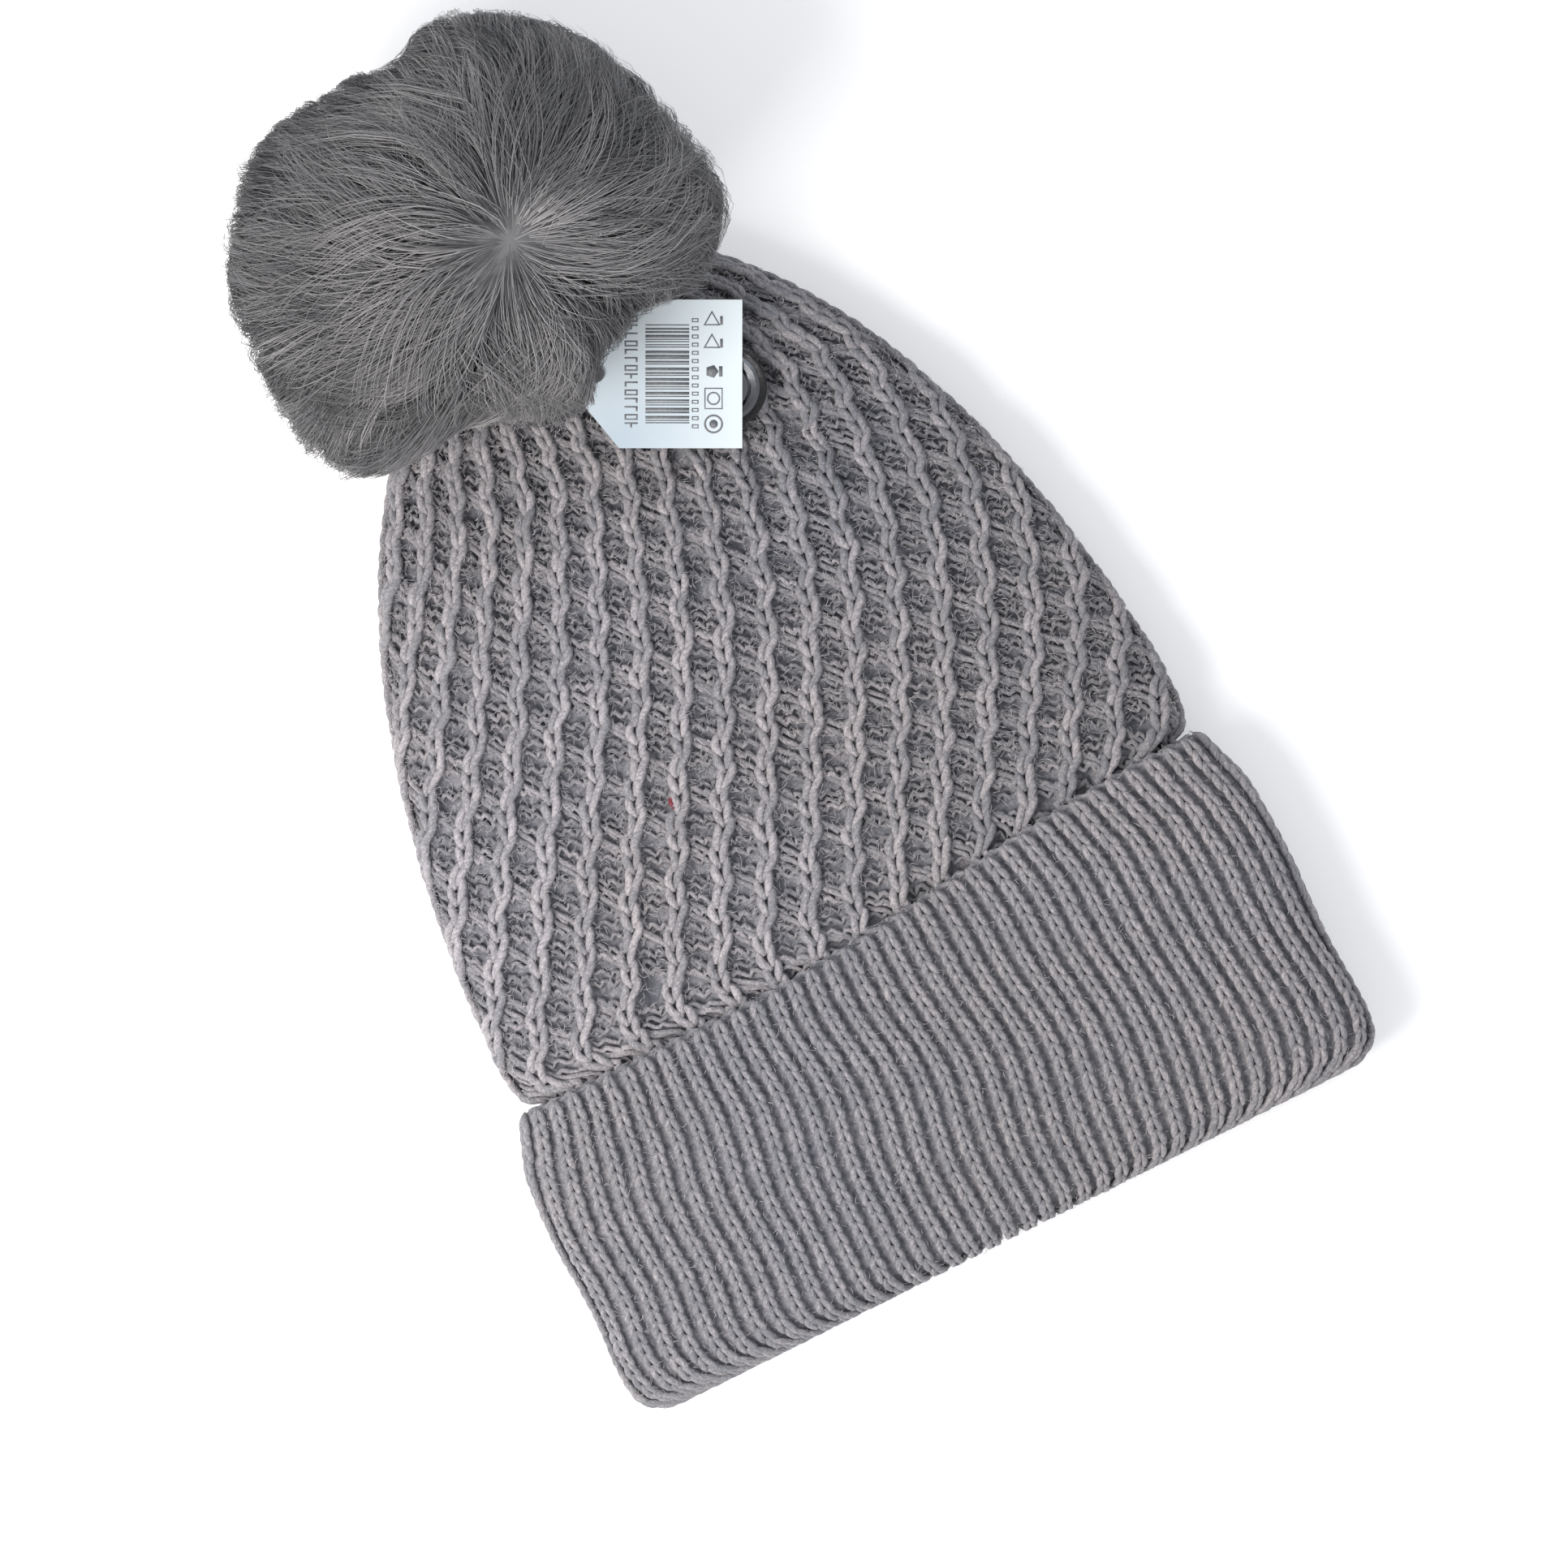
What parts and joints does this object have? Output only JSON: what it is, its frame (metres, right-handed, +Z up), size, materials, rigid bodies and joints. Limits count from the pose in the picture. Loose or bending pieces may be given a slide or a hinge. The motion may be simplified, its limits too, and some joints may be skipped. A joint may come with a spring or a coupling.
{
  "type": "pom pom beanie",
  "caption": "Knitted beanie with a turned-up rib cuff and a large faux-fur pompom on an elastic loop with a press stud, lying flat with its hang tag.",
  "frame": {"origin": "on the surface the hat lies on, under the middle of the whole outline", "axes": "+Y from the brim to the crown, +X towards the hat's right as it is seen from above, +Z up out of the hat's front"},
  "size_m": [0.208, 0.3432, 0.108],
  "materials": {
    "knit_grey": "fuzzy acrylic knit",
    "rib_grey": "fine rib knit",
    "thread_grey": "sewing thread",
    "felt_grey": "felt",
    "gunmetal": "dark plated metal",
    "spring_steel": "bright wire",
    "black_rim": "black enamel",
    "elastic_black": "woven elastic",
    "clear_plastic": "moulded plastic",
    "card_white": "coated card",
    "button_black": "moulded plastic",
    "cord_white": "cotton cord",
    "backing_grey": "knitted backing",
    "stuffing_white": "polyester wadding",
    "fur_grey": "long faux fur"
  },
  "bodies": {
    "hat": {"crown_knit": "knit_grey", "rib_band": "rib_grey", "back_seam": "thread_grey", "crown_patch": "felt_grey", "gather_thread": "thread_grey", "snap_stud": "gunmetal", "stud_thread": "thread_grey"},
    "cuff": {"cuff": "rib_grey", "cuff_edge": "rib_grey"},
    "snap_ring": {"snap_spring": "spring_steel"},
    "loop": {"snap_socket": "gunmetal", "snap_rim": "black_rim", "snap_cap": "gunmetal", "pompom_loop": "elastic_black", "tag_fastener": "clear_plastic"},
    "tag": {"hang_tag": "card_white"},
    "pompom": {"pompom_button": "button_black", "pompom_base": "felt_grey", "pompom_drawstring": "cord_white", "pompom_backing": "backing_grey", "pompom_stuffing": "stuffing_white", "pompom_fur": "fur_grey"}
  },
  "joints": [
    {"name": "cuff_turn_down", "type": "slide", "parent": "hat", "child": "cuff", "axis": [0, -1, 0], "range_m": [0, 0.072]},
    {"name": "snap_pull", "type": "slide", "parent": "hat", "child": "snap_ring", "axis": [0, 0, 1], "range_m": [0, 0.015]},
    {"name": "snap_swivel", "type": "hinge", "parent": "snap_ring", "child": "loop", "pos_m": [0.0301, 0.05099, 0.0229], "axis": [0, 0, 1], "continuous": true},
    {"name": "tag_swing", "type": "hinge", "parent": "loop", "child": "tag", "pos_m": [0.0025, 0.06849, 0.0276], "axis": [0, 0, 1], "range_deg": [-35, 35]},
    {"name": "pompom_spin", "type": "hinge", "parent": "loop", "child": "pompom", "pos_m": [-0.01201, 0.11461, 0.0262], "axis": [0, 0, 1], "continuous": true}
  ]
}
